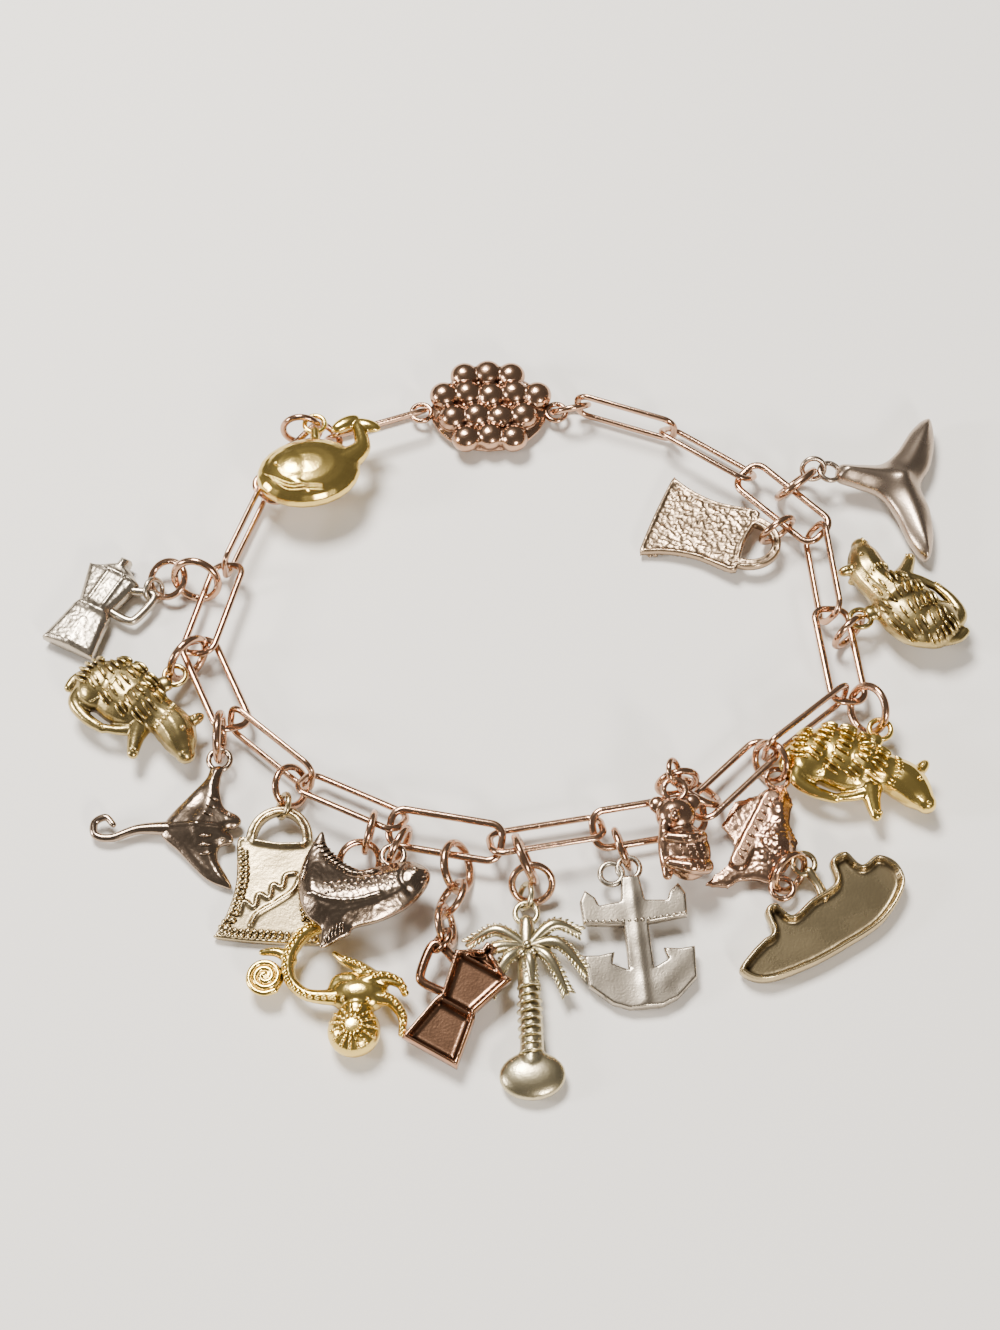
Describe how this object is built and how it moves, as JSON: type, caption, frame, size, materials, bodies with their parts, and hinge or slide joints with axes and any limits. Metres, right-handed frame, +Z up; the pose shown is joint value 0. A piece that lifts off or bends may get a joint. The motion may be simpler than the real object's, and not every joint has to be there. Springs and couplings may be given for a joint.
{
  "type": "charm bracelet",
  "caption": "Oblong link chain bracelet in a closed loop, laid flat, with cast animal, ship, pot, bag and anchor charms on jump rings.",
  "frame": {"origin": "middle of the box of the whole bracelet, on the surface that it lies on", "axes": "+Z up from the surface, +X across the bracelet's longest extent, the clasp side towards +Y"},
  "size_m": [0.0922, 0.0816, 0.0069],
  "materials": {
    "rose_metal": "worn rose gold, darker in the hollows",
    "gold_metal": "bright yellow gold, polished high spots",
    "old_gold_metal": "dark old gold with tarnished grooves",
    "silver_metal": "pale granular silver, softly shining",
    "pewter_metal": "dark polished pewter, brown in the hollows"
  },
  "bodies": {
    "root": {"anchor": "silver_metal", "clasp": "rose_metal", "fish": "pewter_metal", "koala": "rose_metal", "landmass": "rose_metal", "link_01": "rose_metal", "link_02": "rose_metal", "link_03": "rose_metal", "link_04": "rose_metal", "link_05": "rose_metal", "link_06": "rose_metal", "link_07": "rose_metal", "link_08": "rose_metal", "link_09": "rose_metal", "link_10": "rose_metal", "link_11": "rose_metal", "link_12": "rose_metal", "link_13": "rose_metal", "link_14": "rose_metal", "link_15": "rose_metal", "link_16": "rose_metal", "link_17": "rose_metal", "manta": "pewter_metal", "moka_pot_rose": "rose_metal", "moka_pot_silver": "silver_metal", "octopus": "gold_metal", "palm": "silver_metal", "quokka_left": "old_gold_metal", "quokka_lower": "gold_metal", "quokka_upper": "old_gold_metal", "ring_anchor_1": "rose_metal", "ring_clasp": "rose_metal", "ring_fish_1": "rose_metal", "ring_koala_1": "rose_metal", "ring_koala_2": "rose_metal", "ring_landmass_1": "rose_metal", "ring_manta_1": "rose_metal", "ring_moka_pot_rose_1": "rose_metal", "ring_moka_pot_rose_2": "rose_metal", "ring_moka_pot_rose_3": "rose_metal", "ring_moka_pot_silver_1": "rose_metal", "ring_moka_pot_silver_2": "rose_metal", "ring_octopus_1": "rose_metal", "ring_octopus_2": "rose_metal", "ring_octopus_3": "rose_metal", "ring_palm_1": "rose_metal", "ring_palm_2": "rose_metal", "ring_quokka_left_1": "rose_metal", "ring_quokka_lower_1": "rose_metal", "ring_quokka_upper_1": "rose_metal", "ring_ship_1": "rose_metal", "ring_tote_bag_back_1": "rose_metal", "ring_tote_bag_front_1": "rose_metal", "ring_whale_1": "rose_metal", "ring_whale_tail_1": "rose_metal", "ship": "silver_metal", "tote_bag_back": "old_gold_metal", "tote_bag_front": "silver_metal", "whale": "gold_metal", "whale_tail": "pewter_metal"}
  },
  "joints": []
}
